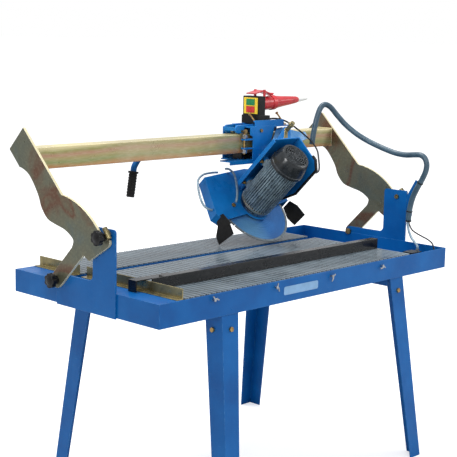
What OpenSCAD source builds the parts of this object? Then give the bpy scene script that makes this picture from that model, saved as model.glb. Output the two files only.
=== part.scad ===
// Bridge-type wet tile saw: a water tray on four splayed legs, a tilting bridge with a travelling
// carriage, and a motor head that carries a diamond blade.
// Millimetres. +X runs along the bridge, +Y to the back, +Z up; the origin is on the floor,
// under the middle of the tray.

/* [Table] */
// Length of the tray
tray_l = 1582; // [1480:1:1700]
// Width of the tray
tray_w = 761; // [740:1:800]
// Depth of the tray wall
tray_h = 81; // [70:1:95]
// Height of the tray rim above the floor
rim_h = 800; // [720:1:880]
// Length of the ribbed mats, measured from the end rail
mat_l = 1225; // [1180:1:1240]

/* [Bridge] */
// Lean of the bridge at rest, back from upright
lean = 45; // [0:1:45]
// Width of the square beam
beam_w = 75; // [70:1:80]
// Thickness of the end arms
arm_t = 10; // [8:1:12]

/* [Head] */
// Diameter of the blade
blade_d = 350; // [300:1:350]
// Diameter of the motor over its fins
motor_d = 142; // [130:1:146]
// Place of the blade along the bridge, at rest
head_x = 1094; // [1090:1:1100]

/* [Hidden] */
$fn = 48;
gap = 0.3;              // clearance between faces that move past each other
sheet = 3;              // steel sheet of the tray
plate = 6;              // steel plate of the brackets
mid_x = tray_l / 2;
mid_y = tray_w / 2;

// bridge pivot, in the tray's own frame: X and Y from its front left corner, Z from its rim
piv_y = 500;
piv_z = 4;
piv_r = 8;
clamp_y = 253;
clamp_z = 183;
clamp_r = 6;
rim_r = 296;            // radius of the arm's clamped rim, about the pivot
leg_r = 28;             // end radius of the arm's leg
arm_in = plate + 1;     // from the end wall to the arm's inner face
beam_u = -170;          // centre of the beam, in the upright bridge
beam_v = 398;
beam_y = piv_y + (beam_u + beam_v) * sin(45);
beam_z = piv_z + (beam_v - beam_u) * sin(45);
half = beam_w / 2;

// rails, mats and fence
rail_x = 108;
rail_h = 36;
mat_x = rail_x + 1;
mat_end = mat_x + mat_l;
slot_y0 = 490;
slot_y1 = 527;
mat_top = 4;
fence_y = 160;

// blade and motor, on the head's own axis: v is the height of the axis above the pivot
axis_v = 187;
blade_t = 3.2;
blade_r = blade_d / 2;
bore_r = 12.7;
shaft_r = 12;
motor_r = motor_d / 2;
bell_u = -45;           // front end of the finned body
seam_u = -262;          // joint of the finned body and the fan cover
cover_u = -333;         // back of the fan cover
fin_n = 40;

// plunge pivot of the head on the carriage
pin_x = 1229;
pin_v = 368;
pin_r = 9;
wing_u = -236;          // front face of the carriage's wing plate
wing_t = 5;

// rollers
roll_r = 12;
roll_off = half + gap + roll_r;
axle_r = 5;
axle_x0 = 1020;
axle_x1 = 1222;

// switch and coupler
sw_x = 1107;
sw_y = 661;
sw_z = 516;

// cord routes, by hand, in the tray's own frame
conduit_d = 23;
conduit_top = [[1380, 558, 390], [1382, 556, 420], [1386, 554, 450], [1394, 551, 490],
    [1404, 549, 520], [1416, 547, 543], [1432, 543, 556], [1450, 535, 553],
    [1464, 523, 538], [1480, 508, 512], [1500, 478, 474], [1519, 440, 441],
    [1531.755, 408.797, 420.899], [1533.878, 401.898, 417.449], [1536, 395, 414]];
conduit_bot = [[1536.08, 394.741, 413.871], [1538.202, 387.843, 410.421],
    [1540.325, 380.944, 406.972], [1548, 348, 394], [1556, 300, 378], [1562, 250, 366],
    [1566, 205, 363], [1568, 165, 367], [1569, 135, 368], [1569, 113, 356],
    [1569, 103, 332], [1569, 107, 302], [1569, 124, 266], [1569, 147, 226],
    [1569, 164, 190], [1569, 175, 150], [1569, 180, 115], [1569, 181, 92]];
hose_d = 10;
hose_pts = [[1564.4, 181, 85.8], [1564.4, 181, 81], [1564.4, 181, 76.2], [1560, 169, 46],
    [1551, 150, 25], [1541, 128, 12], [1534.5, 111, 3], [1532, 104, -5.6], [1532, 104, -9.8],
    [1532, 104, -14]];
cable_d = 6;
cable_pts = [[1574.2, 181, 85.8], [1574.2, 181, 82], [1574.2, 181, 78.2], [1575, 166, 54],
    [1573, 140, 42], [1568, 110, 34], [1561, 76, 26], [1556, 50, 14], [1552.6, 38, -6],
    [1552, 36, -18], [1552, 36, -22], [1552, 36, -26]];
motor_cable_pts = [[1181.3, 640, 497], [1185.3, 640, 497], [1189.3, 640, 497],
    [1208, 631, 500.5], [1236, 618, 498],
    [1266, 608, 488], [1292, 600, 474], [1318, 589, 455], [1340, 574.8, 435.2],
    [1356, 557.3, 414.8], [1366, 541, 395], [1368, 524, 376], [1360, 508, 360],
    [1342, 488, 338], [1316, 462, 314], [1284, 436, 298], [1250, 418, 292],
    [1222, 411, 293], [1205, 410, 294]];

// ---------- helpers ----------

module place() translate([-mid_x, -mid_y, rim_h]) children();
module mirrored_x() translate([tray_l, 0, 0]) mirror([1, 0, 0]) children();
// the bridge's frame: X along the bridge, y = u to the back and z = v up, when upright
module bridge() translate([0, piv_y, piv_z]) rotate([-lean, 0, 0]) children();
// the beam's frame: its axis along X, its faces square
module on_beam() bridge() translate([0, beam_u, beam_v]) rotate([45, 0, 0]) children();
// an outline in Y and Z, extruded along X
module along_x(x, t) translate([x, 0, 0]) rotate([90, 0, 90]) linear_extrude(t) children();
// an outline in X and Z, extruded along Y
module along_y(y, t) translate([0, y + t, 0]) rotate([90, 0, 0]) linear_extrude(t) children();
module rod_x(x, y, z, r, l) translate([x, y, z]) rotate([0, 90, 0]) cylinder(r = r, h = l);
module rod_y(x, y, z, r, l) translate([x, y, z]) rotate([-90, 0, 0]) cylinder(r = r, h = l);
module hex_y(x, y, z, w, l)
    translate([x, y, z]) rotate([-90, 0, 0]) cylinder(d = w / cos(30), h = l, $fn = 6);
module hex_x(x, y, z, w, l)
    translate([x, y, z]) rotate([0, 90, 0]) cylinder(d = w / cos(30), h = l, $fn = 6);
function polar(r, a) = [r * cos(a), r * sin(a)];
function arc(c, r, a0, a1, n) = [for (i = [0:n]) c + polar(r, a0 + (a1 - a0) * i / n)];
// a smooth curve through points, n steps to each span
function at(p, i) = p[max(0, min(len(p) - 1, i))];
function spline(p, n) = [for (i = [0:len(p) - 2]) for (k = [0:n - 1])
    let (t = k / n, a = at(p, i - 1), b = p[i], c = p[i + 1], d = at(p, i + 2))
    0.5 * (2 * b + t * (c - a) + t * t * (2 * a - 5 * b + 4 * c - d)
    + t * t * t * (3 * b - 3 * c + d - a))];
function unit(v) = v / norm(v);
// a round tube of diameter d swept along a route; side is a direction that the route never takes
module swept(route, d, n, sides, side) {
    p = concat(spline(route, n), [route[len(route) - 1]]);
    m = len(p);
    t = [for (i = [0:m - 1]) unit(at(p, i + 1) - at(p, i - 1))];
    s = [for (i = [0:m - 1]) unit(cross(t[i], side))];
    rings = [for (i = [0:m - 1]) for (k = [0:sides - 1])
        let (a = -360 * k / sides, w = cross(t[i], s[i])) p[i] + d / 2 * (s[i] * cos(a) + w * sin(a))];
    polyhedron(points = rings, faces = concat(
        [[for (k = [0:sides - 1]) sides - 1 - k]],
        [for (i = [0:m - 2]) for (k = [0:sides - 1]) let (q = (k + 1) % sides)
            [i * sides + k, i * sides + q, (i + 1) * sides + q, (i + 1) * sides + k]],
        [[for (k = [0:sides - 1]) (m - 1) * sides + k]]));
}

// ---------- table ----------

module tray() {
    color("royalblue") place() {
        difference() {
            translate([0, 0, -tray_h]) cube([tray_l, tray_w, tray_h]);
            translate([sheet, sheet, sheet - tray_h])
                cube([tray_l - 2 * sheet, tray_w - 2 * sheet, tray_h]);
            for (x = [-1, tray_l - sheet - 1]) rod_x(x, piv_y, piv_z, piv_r + 1.5, sheet + 2);
        }
    }
}

// one half of the deck sheet under the mats, with a lip down into the slot
module deck_half(y0, y1, lip_y) {
    t = 2.5;
    lip = 30;
    translate([sheet + 0.5, y0, -t]) cube([mat_end - sheet - 0.5, y1 - y0, t]);
    translate([60, lip_y, -lip]) cube([mat_end - 60, t, lip - 0.1]);
    translate([mat_end - t, y0, sheet - tray_h]) cube([t, y1 - y0, tray_h - sheet - 0.1]);
}

module deck() {
    color("royalblue") place() difference() {
        union() {
            deck_half(sheet + 0.5, slot_y0, slot_y0 - 2.5);
            deck_half(slot_y1, tray_w - sheet - 0.5, slot_y1);
            translate([sheet + 0.5, slot_y0 - 1, -2.5]) cube([56, slot_y1 - slot_y0 + 2, 2.5]);
        }
        // room for the pivot's nut
        translate([0, piv_y - 16, -10]) cube([17, 32, 20]);
    }
}

// a ribbed mat: ribs along Y at a steady pitch
module mat(y0, y1) {
    pitch = 12.25;
    rib = 7;
    rise = 1.2;
    n = floor(mat_l / pitch);
    outline = concat([[mat_x, 0]],
        [for (i = [0:n - 1]) let (x = mat_x + i * pitch)
            each [[x, mat_top - rise], [x + pitch - rib, mat_top - rise],
                [x + pitch - rib + 1, mat_top], [x + pitch - 1, mat_top]]],
        [[mat_end, mat_top], [mat_end, 0]]);
    along_y(y0, y1 - y0) polygon(outline);
}

module mats() {
    color("slategray") place() {
        mat(sheet + 0.5, slot_y0 - 1);
        mat(slot_y1 + 1, tray_w - sheet - 0.5);
    }
}

// an L rail across the table, its upright leg next to the mats
module rail(y0, y1) {
    t = 3;
    foot = 28;
    translate([rail_x - t, y0, 0]) cube([t, y1 - y0, rail_h]);
    translate([rail_x - foot, y0, 0]) cube([foot, y1 - y0, t]);
}

module end_rails() {
    color("goldenrod") place() {
        rail(5, 488);
        rail(slot_y1, tray_w - 5);
    }
}

// end bracket: a plate on the end wall, with a tower at its front and the pivot ear at its back
module bracket() {
    tower_y0 = 205;
    tower_y1 = 320;
    top = 211;
    shelf = 26;
    ear_r = 14;
    round_r = 12;
    inner_r = 20;
    end_y = 514;
    along_x(-plate, plate) difference() {
        polygon(concat([[tower_y0, -tray_h - 3]],
            arc([tower_y0 + round_r, top - round_r], round_r, 180, 90, 6),
            arc([tower_y1 - round_r, top - round_r], round_r, 90, 0, 6),
            arc([tower_y1 + inner_r, shelf + inner_r], inner_r, 180, 270, 6),
            arc([end_y - ear_r, shelf - ear_r], ear_r, 90, 0, 6),
            [[end_y, -tray_h - 3]]));
        translate([piv_y, piv_z]) circle(r = piv_r + gap);
        translate([clamp_y, clamp_z]) circle(r = clamp_r + gap);
    }
}

module bracket_left() { color("royalblue") place() bracket(); }
module bracket_right() { color("royalblue") place() mirrored_x() bracket(); }

// the two studs of the bridge on one bracket, which is welded to the end wall
module bracket_set() {
    rod_x(-38, piv_y, piv_z, piv_r, 38 + sheet + 1);
    hex_x(sheet + 1, piv_y, piv_z, 24, 9);
    rod_x(-38, clamp_y, clamp_z, clamp_r, 38 + 1);
    hex_x(1, clamp_y, clamp_z, 18, 7);
}

module frame_bolts() {
    color("peru") place() {
        bracket_set();
        mirrored_x() bracket_set();
        for (s = [0, 1]) translate([0, s * tray_w, 0]) mirror([0, s, 0]) {
            leg_bolts();
            mirrored_x() leg_bolts();
        }
    }
}

// round stop on the tower, square to the radius from the pivot: the foot of the arm rests on it
module tilt_stop() {
    r = 8.5;
    l = 41;
    stop_r = 329;
    stop_a = 143.7;
    web = 16;
    p = polar(stop_r, stop_a);
    translate([0, piv_y + p[0], piv_z + p[1]]) rotate([stop_a - 90, 0, 0]) {
        translate([-plate - 2 - r, l / 2, 0]) rotate([90, 0, 0]) cylinder(r = r, h = l);
        translate([-plate - 4, -web / 2, -5]) cube([4, web, 10]);
    }
}

module tilt_stops() {
    color("goldenrod") place() {
        tilt_stop();
        mirrored_x() tilt_stop();
    }
}

// splayed leg: a tapered L, its corner outwards
leg_x = 286;
leg_top_z = -tray_h - 0.5;
leg_len = rim_h - 60;
leg_splay_x = 3.6;
leg_splay_y = 7;
leg_sheet = 4;
leg_w0 = 80;
leg_w1 = 60;
module leg_flange() linear_extrude(leg_sheet)
    polygon([[0, 60], [leg_w0, 60], [leg_w1, -leg_len], [0, -leg_len]]);
module leg() {
    difference() {
        translate([leg_x, 4, leg_top_z]) rotate([-leg_splay_y, leg_splay_x, 0]) difference() {
            union() {
                translate([0, leg_sheet, 0]) rotate([90, 0, 0]) leg_flange();
                rotate([90, 0, 90]) leg_flange();
            }
            translate([40, -1, -48]) rotate([-90, 0, 0]) cylinder(r = 5.3, h = leg_sheet + 2);
            translate([-1, 44, -48]) rotate([0, 90, 0]) cylinder(r = 5.3, h = leg_sheet + 2);
        }
        translate([leg_x - 100, -100, leg_top_z]) cube([300, 300, 100]);
        translate([leg_x - 300, -300, -rim_h - 100]) cube([600, 600, 100]);
    }
}
module leg_bolts() {
    translate([leg_x, 4, leg_top_z]) rotate([-leg_splay_y, leg_splay_x, 0]) {
        hex_y(40, -7, -48, 16, 7);
        hex_x(-7, 44, -48, 16, 7);
        rod_y(40, 0, -48, 5, 12);
        rod_x(0, 44, -48, 5, 12);
    }
}

module legs_front() {
    color("royalblue") place() {
        leg();
        mirrored_x() leg();
    }
}
module legs_back() {
    color("royalblue") place() translate([0, tray_w, 0]) mirror([0, 1, 0]) {
        leg();
        mirrored_x() leg();
    }
}

// folded channel under the tray between a front and a back leg
module brace() {
    w = 56;
    h = 34;
    y0 = 24;
    translate([leg_x + 16, y0, -tray_h - h]) difference() {
        cube([w, tray_w - 2 * y0, h]);
        translate([sheet, -1, -1]) cube([w - 2 * sheet, tray_w, h - sheet + 1]);
    }
}
module leg_braces() {
    color("darkblue") place() {
        brace();
        mirrored_x() brace();
    }
}

// bent hooks along the front wall, each turned its own way
module hook() {
    reach = 9;
    rod_y(0, -reach, 0, 3, reach);
    along_y(-reach - 3, 3) polygon([[-4, -4], [4, -4], [6, 4], [17, 5], [18, 9], [4, 10],
        [-2, 6], [-12, 11], [-15, 8], [-5, 1]]);
}
module front_hooks() {
    color("silver") place()
        for (k = [0:3]) translate([238 + k * 303, 0, -19]) rotate([0, 25 + 50 * k, 0]) hook();
}

// submersible pump in the open end of the tray
pump_x = 1440;
pump_y = 60;
module pump_body() {
    color("dimgray") place() {
        translate([pump_x, pump_y, sheet - tray_h]) {
            difference() {
                cube([84, 70, 52]);
                for (k = [0:5]) translate([8 + k * 12, -1, 6]) cube([4, 6, 22]);
            }
            translate([10, 10, 52]) cube([64, 50, 9]);
        }
    }
}
module pump_outlet() {
    color("gray") place() {
        translate([1532, 104, -60]) cylinder(r = 7, h = 45.8);
        translate([1532, 104, -34]) cylinder(r = 7.7, h = 10);
        rod_x(pump_x + 84.1, 104, -54, 7, 8);
        translate([1552, 36, sheet - tray_h]) cylinder(r = 9, h = 51.8);
    }
}

// bent strap in front of the tower that carries the hoses
module hose_mast() {
    t = 4;
    color("royalblue") place() along_x(tray_l + 0.7, t) polygon([[176, 110], [204.7, 110],
        [204.7, 192], [164, 262], [142, 250], [176, 190]]);
}
module tie(p, a, r) {
    translate(p) rotate(a) difference() {
        cylinder(r = r + 1.9, h = 5, center = true);
        cylinder(r = r + 0.6, h = 7, center = true);
    }
}
module hose_ties() {
    color("black") place() {
        tie([1569, 131, 254], [29.5, 0, 0], conduit_d / 2);
        tie([1569, 178.2, 130], [7, 0, 0], conduit_d / 2);
        // end bush of the conduit
        translate([1569, 181, 86]) cylinder(r = 12.5, h = 5.7);
    }
}
module conduit_lower() { color("slategray") place() swept(conduit_bot, conduit_d, 2, 12, [1, 0, 0]); }
module water_hose() { color("lightsteelblue") place() swept(hose_pts, hose_d, 2, 8, [1, 0, 0]); }
module pump_cable() { color("black") place() swept(cable_pts, cable_d, 2, 8, [1, 0, 0]); }

// ---------- bridge ----------

// end arm in the upright bridge: a straight neck, a wavy back edge, a rim about the pivot
// and a leg down to the pivot
arm_back = [[-114, 405], [-123, 392], [-136, 358], [-136, 319], [-127, 268], [-111, 226],
    [-110, 179], [-131, 138], [-155, 100], [-167, 68], [-169, 40], [-146, 28]];
function arm_outline() = concat(
    [[-228, 488], [-114, 488]],
    spline(arm_back, 4), [[-146, 28]],
    arc([0, 0], leg_r, 90, -90, 14),
    [[-172, -28], [-179, -33], [-181, -44], [-186, -60], [-298, -86], [-308, -84],
        [-314, -79], [-317, -73.6], [-306, -62]],
    arc([0, 0], rim_r, 190.8, 180 - asin(sqrt(rim_r * rim_r - 228 * 228) / rim_r), 16));
module arm() along_x(-arm_in - arm_t, arm_t) difference() {
    polygon(arm_outline());
    circle(r = piv_r + 0.05);
}
module arm_left() { color("darkkhaki") place() bridge() arm(); }
module arm_right() { color("darkkhaki") place() bridge() mirrored_x() arm(); }

// the beam, and the square flange on each of its ends that bolts to an arm
module beam() {
    wall = 4;
    flange_t = 3;
    rim = beam_w + 6;
    x0 = flange_t - arm_in + 0.1;
    l = tray_l - 2 * x0;
    color("goldenrod") place() on_beam() {
        difference() {
            translate([x0, -half, -half]) cube([l, beam_w, beam_w]);
            translate([x0 + 1, wall - half, wall - half])
                cube([l - 2, beam_w - 2 * wall, beam_w - 2 * wall]);
        }
        for (x = [-arm_in, tray_l + arm_in - flange_t])
            translate([x, -rim / 2, -rim / 2]) cube([flange_t, rim, rim]);
    }
}

// lobed knob with a flange that bears on the arm
module knob(y, z, bore, flange_r) {
    head_r = 25.5;
    head_t = 16;
    lobes = 7;
    face = -arm_in - arm_t - gap;
    difference() {
        union() {
            rod_x(face - 4, y, z, flange_r, 4);
            rod_x(face - 16, y, z, 12, 16);
            along_x(face - 16 - head_t, head_t) translate([y, z]) difference() {
                circle(r = head_r);
                for (k = [0:lobes - 1]) rotate(k * 360 / lobes) translate([head_r + 3, 0])
                    circle(r = 7);
            }
            translate([face - 16 - head_t, y, z]) rotate([0, -90, 0])
                cylinder(r1 = 16, r2 = 10, h = 3);
        }
        rod_x(-39, y, z, bore + 0.05, 39);
    }
}
module pivot_knob_left() { color("black") place() knob(piv_y, piv_z, piv_r, 15); }
module pivot_knob_right() { color("black") place() mirrored_x() knob(piv_y, piv_z, piv_r, 15); }
module clamp_knob_left() { color("black") place() knob(clamp_y, clamp_z, clamp_r, 14); }
module clamp_knob_right() {
    color("black") place() mirrored_x() knob(clamp_y, clamp_z, clamp_r, 14);
}

// ---------- fence ----------

module fence_bar() {
    bar_x = 116;
    top_x = 172;
    leg_t = 5;
    top_w = 31;
    top_t = 3.5;
    strap_x = 61;
    strap_w = 39;
    strap_y = 20;
    z0 = mat_top + gap;
    z1 = rail_h + gap;
    z2 = z1 + top_t + gap;
    color("black") place() translate([0, fence_y, 0]) {
        translate([bar_x, 0, z0]) cube([mat_end - bar_x, leg_t, z2 + top_t - z0]);
        translate([top_x, 0, z2]) cube([mat_end - top_x, top_w, top_t]);
        // strap under the flange, bent down outside the end rail
        translate([strap_x, strap_y, z1]) cube([top_x - strap_x + 60, strap_w, top_t]);
        translate([strap_x, strap_y, gap]) cube([4, strap_w, z1]);
    }
}

// ---------- carriage ----------

cf_y = -half - 23;      // back face of the carriage's front plate, from the beam's axis
cf_t = 5;
cf_x0 = 1056;
top_z = half + 27;      // underside of the top flange
seat_z = 76.3;          // top of the cheeks, under the switch's pedestal
module carriage_front() {
    bot_z = -half - 27;
    ear_t = 6;
    web_x = axle_x1 - 18;
    web_y = cf_y - cf_t + 3;
    color("mediumblue") place() on_beam() {
        difference() {
            along_y(cf_y - cf_t, cf_t) polygon([[cf_x0, bot_z], [1138, bot_z], [1184, top_z + 5],
                [1040, top_z + 5], [1040, 36], [cf_x0, 28]]);
            for (z = [-52, 52]) rod_y(1100, cf_y - cf_t - 1, z, 4.2, cf_t + 2);
        }
        // flanges over and under the beam
        translate([1040, cf_y - cf_t, top_z]) cube([226, 128, 5]);
        translate([1000, cf_y - cf_t, bot_z - 5]) cube([254, 128, 5]);
        // ears of the front rollers' axles; the right ones hang on a web of their own
        for (z = [-21, 15]) {
            difference() {
                translate([axle_x0 - 11, cf_y - cf_t, z]) cube([47, 24, ear_t]);
                translate([axle_x0, -roll_off, z - 1]) cylinder(r = axle_r, h = ear_t + 2);
            }
            difference() {
                translate([web_x, web_y, z]) cube([30, 21, ear_t]);
                translate([axle_x1, -roll_off, z - 1]) cylinder(r = axle_r, h = ear_t + 2);
            }
        }
        translate([web_x, web_y, bot_z]) cube([5, 18, 21 - bot_z]);
        translate([web_x, cf_y - cf_t, bot_z]) cube([40, 3, -5 - bot_z]);
        // ears of the right top rollers' axle
        for (y = [-31, 25]) difference() {
            translate([axle_x1 - 12, y, roll_off - 8]) cube([24, 5, top_z - roll_off + 8]);
            rod_y(axle_x1, y - 1, roll_off, axle_r, 7);
        }
        // front lip of the bottom flange
        translate([925, cf_y - cf_t, bot_z - 5]) cube([75, 60, 5]);
        translate([925, cf_y - cf_t, bot_z - 16]) cube([330, 5, 11]);
    }
}

module carriage_back() {
    y = half + 22;
    color("mediumblue") place() on_beam() {
        difference() {
            translate([1010, y, -half - 27]) cube([240, 5, 2 * half + 54]);
            for (x = [1040, 1220], z = [-45, 45]) rod_y(x, y - 1, z, 4.2, 7);
        }
        // saddle over the top flange: two cheeks with a rounded nose
        for (y = [-34, 26]) difference() {
            along_y(y, 8) polygon(concat([[1255, top_z + 5], [1255, seat_z], [1060, seat_z]],
                arc([1000, 58], 16, 80, 270, 10), [[1032, 42], [1036, top_z + 5]]));
            rod_y(axle_x0, y - 1, roll_off, axle_r, 10);
        }
        translate([985, -26, 52]) cube([5, 52, 14]);
        // bar beside the switch's pedestal, on a web
        translate([1070, -64, seat_z + 10]) cube([170, 13, 6]);
        translate([1070, -64, top_z + 5]) cube([170, 6, seat_z + 10 - top_z - 5]);
        translate([1060, 34, top_z + 5]) cube([190, 26, 5]);
    }
}

// wing plate in front of the beam, and the ribs that join it to the front plate
module carriage_wing() {
    color("cornflowerblue") place() {
        bridge() {
            difference() {
                along_y(wing_u, wing_t) polygon([[1100, 308], [1244, 318], [1370, 345], [1374, 372],
                    [1259, 413], [1222, 408], [1189, 377]]);
                rod_y(pin_x, wing_u - 1, pin_v, pin_r, wing_t + 2);
            }
            // lower flange of the wing
            along_y(wing_u - 7, 7) polygon([[1130, 306], [1244, 314], [1370, 341], [1370, 346],
                [1244, 319], [1130, 311]]);
            // upright tab for the conduit
            along_y(wing_u - 5, 5) polygon([[1356, 345.5], [1370, 348.5], [1378, 376],
                [1366, 378]]);
        }
        // web back to the carriage's front plate
        difference() {
            bridge() along_y(wing_u + wing_t, 34) polygon([[1208, 330], [1240, 336], [1240, 341],
                [1208, 335]]);
            on_beam() translate([1200, cf_y - cf_t, -100]) cube([50, 80, 200]);
        }
    }
}

module carriage_bolts() {
    screw_u = -258;
    color("peru") place() {
        on_beam() {
            translate([axle_x0, -roll_off, -half - 4]) cylinder(r = axle_r, h = beam_w + 8);
            translate([axle_x1, -roll_off, -half - 4]) cylinder(r = axle_r, h = half + 25);
            rod_y(axle_x0, -50, roll_off, axle_r, 100);
            rod_y(axle_x1, -30, roll_off, axle_r, 64);
            hex_y(axle_x0, -57, roll_off, 17, 7);
            for (x = [1040, 1220], z = [-45, 45]) {
                hex_y(x, half + 27, z, 13, 6);
                rod_y(x, half + 22, z, 4, 6);
            }
            for (z = [-52, 52]) {
                hex_y(1100, cf_y - cf_t - 6, z, 13, 6);
                rod_y(1100, cf_y - cf_t - 1, z, 4, 6);
            }
            for (x = [1092, 1256]) translate([x - 7, -57, top_z + 5]) cube([14, 14, 5]);
        }
        // long adjusting screws, leaning with the bridge
        for (x = [1092, 1256]) translate([x, 0, 0]) bridge() {
            translate([0, screw_u, 416]) cylinder(r = 3.5, h = 58);
            translate([0, screw_u, 470]) cylinder(r = 6.5, h = 5, $fn = 6);
        }
    }
}

module slide_pads() {
    color("black") place() on_beam() {
        for (x = [1030, 1180]) {
            translate([x, -25, -half - 27]) cube([50, 50, 27 - gap]);
            translate([x, half + gap, -25]) cube([50, 22 - gap, 50]);
        }
    }
}

// rollers on the front and on the top of the beam
module roller_z(x, starts) {
    l = 15;
    for (z = starts) translate([x, -roll_off, z]) difference() {
        cylinder(r = roll_r, h = l);
        translate([0, 0, -1]) cylinder(r = axle_r + 0.05, h = l + 2);
    }
}
module roller_y(x) {
    l = 14;
    for (y = [-20, 6]) difference() {
        rod_y(x, y, roll_off, roll_r, l);
        rod_y(x, y - 1, roll_off, axle_r + 0.05, l + 2);
    }
}
module roller_front_left() { color("silver") place() on_beam() roller_z(axle_x0, [-37.5, 22.5]); }
module roller_front_right() { color("silver") place() on_beam() roller_z(axle_x1, [-37.5]); }
module roller_top_left() { color("silver") place() on_beam() roller_y(axle_x0); }
module roller_top_right() { color("silver") place() on_beam() roller_y(axle_x1); }

// pin that the head swings on
module plunge_pin() {
    color("darkgoldenrod") place() bridge() {
        rod_y(pin_x, -311, pin_v, pin_r, 311 + wing_u + wing_t);
        rod_y(pin_x, -306, pin_v, 12, 7);
        hex_y(pin_x, -318, pin_v, 17, 7);
    }
}

// ---------- switch, coupler and handle ----------

module switch_box() {
    d = 38;
    w = 89;
    h = 78;
    wall = 3;
    color("black") place() {
        difference() {
            translate([sw_x, sw_y - w / 2, sw_z]) cube([d, w, h]);
            translate([sw_x - 1, sw_y - 36, sw_z + 8]) cube([12, 72, 62]);
            rod_x(sw_x + d - wall - 1, sw_y, sw_z + 44, 20, wall + 2);
            translate([sw_x + 11 - 1, sw_y - w / 2 + wall, sw_z + wall])
                cube([d - 10 - wall, w - 2 * wall, h - 2 * wall]);
        }
        translate([sw_x - 4, sw_y - 50, 482]) cube([66, 98, sw_z - 482]);
    }
}
module switch_plate() {
    t = 3;
    color("gold") place() difference() {
        translate([sw_x - t, sw_y - 38, sw_z + 6]) cube([t + 8, 76, 66]);
        translate([sw_x - t - 1, sw_y - 23.4, sw_z + 40.6]) cube([t + 10, 46.8, 25.8]);
        translate([sw_x - t - 1, sw_y - 23.4, sw_z + 10.6]) cube([t + 10, 46.8, 25.8]);
        translate([sw_x, sw_y - 39, sw_z + 5]) difference() {
            cube([10, 78, 68]);
            translate([-1, 3.2, 3.2]) cube([12, 71.6, 61.6]);
        }
    }
}
module button(z) translate([sw_x - 5, sw_y - 23, z]) cube([13, 46, 25]);
module start_button() { color("green") place() button(sw_z + 41); }
module stop_button() { color("red") place() button(sw_z + 11); }

// red plug and socket, end to end along X
cp_z = sw_z + 44;
coupler_l = 248;
lid_x = 1158;
lid_z = 615.4;
lid_pin_r = 1.5;
module coupler() {
    color("crimson") place() {
        translate([sw_x + 38, sw_y, cp_z]) rotate([0, 87, 0])
            rotate_extrude() polygon([[0, 2], [33, 2], [33, 8], [28, 12], [28, 74], [31, 76],
                [31, 96], [28, 100], [25, 122], [22, 152], [18, 200], [14, 240], [12, 246],
                [12, coupler_l], [0, coupler_l]]);
        for (y = [-27, 24.5]) translate([1152, sw_y + y, cp_z]) cube([13, 2.5, 60]);
        rod_y(lid_x, sw_y - 26, lid_z, lid_pin_r, 52);
    }
}
module coupler_lid() {
    t = 4;
    color("crimson") place() difference() {
        along_y(sw_y - 24.2, 48.4) polygon([[1102, 606], [1104, 602], [1158, 613], [1212, 596],
            [1219, 605], [1216, 606], [1210, 602], [1160, 618]]);
        rod_y(lid_x, sw_y - 25, lid_z, lid_pin_r + 0.05, 50);
    }
}
module gland_tips() {
    color("white") place() {
        translate([sw_x + 38, sw_y, cp_z]) rotate([0, 87, 0]) translate([0, 0, coupler_l + 0.2])
            cylinder(r1 = 11, r2 = 6, h = 64);
        rod_x(1169.1, 640, 497, 9, 8);
        rod_x(1177, 640, 497, 5.5, 4);
    }
}

handle_pts = [[1030, 738, 400], [980, 738, 398], [930, 738, 390], [880, 738, 384],
    [800, 738, 383], [640, 738, 382], [592, 737, 377], [562, 735, 363], [545, 733, 346], [535.5, 731, 335],
    [531.7, 730, 327.4], [530.05, 730, 317.3]];
module handle_tube() {
    color("royalblue") place() {
        swept(handle_pts, 24, 2, 12, [0, 1, 0]);
        translate([1030, 726, 388]) cube([150, 24, 24]);
    }
}
module grip() {
    tilt = 9;
    color("black") place() translate([530, 730, 317]) rotate([0, 180 + tilt, 0]) {
        cylinder(r = 20, h = 8);
        translate([0, 0, 8]) cylinder(r = 15, h = 84);
        for (k = [0:6]) translate([0, 0, 12 + k * 11]) cylinder(r = 16.5, h = 7);
        translate([0, 0, 92]) cylinder(r1 = 17, r2 = 14, h = 8);
    }
}
module conduit_upper() { color("slategray") place() swept(conduit_top, conduit_d, 2, 12, [1, 1, 0.2]); }
module motor_cable() { color("black") place() swept(motor_cable_pts, 7, 2, 8, [0, 1, -1]); }

// ---------- head ----------

module head_frame() bridge() translate([0, 0, axis_v]) children();
module cradle() {
    top = 276 - axis_v;
    side_x = 1185;
    t = 5;
    hang = 128 - axis_v;
    color("royalblue") place() {
        head_frame() {
            translate([1029, -330, top]) cube([side_x + t - 1029, 270, t]);
            translate([1029, -330, top - 12]) cube([t, 270, 12]);
            along_x(side_x, t) polygon([[-330, top], [-60, top], [-60, hang + 40],
                [-155, hang], [-307, hang], [-330, hang + 30]]);
            // pads between the plate and the motor's feet
            for (u = [-225, -95], x = [1054, 1120]) translate([x, u, motor_r + 1])
                cube([22, 34, top - motor_r - 1]);
        }
        // arm from the plunge pin down to the plate
        bridge() difference() {
            along_y(-272, 6) polygon(concat([[1070, 281], [1185, 281]],
                arc([pin_x, pin_v], 18, -30, 150, 10)));
            rod_y(pin_x, -273, pin_v, pin_r + 0.05, 8);
        }
        bridge() difference() {
            along_y(-252, 6) polygon(concat([[1140, 281], [1185, 281]],
                arc([pin_x, pin_v], 18, -30, 150, 10)));
            rod_y(pin_x, -253, pin_v, pin_r + 0.05, 8);
        }
        bridge() rod_y_tube(pin_x, -266, pin_v, 15, pin_r + 0.05, 14);
    }
}
module rod_y_tube(x, y, z, r, bore, l) difference() {
    rod_y(x, y, z, r, l);
    rod_y(x, y - 1, z, bore, l + 2);
}
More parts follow.
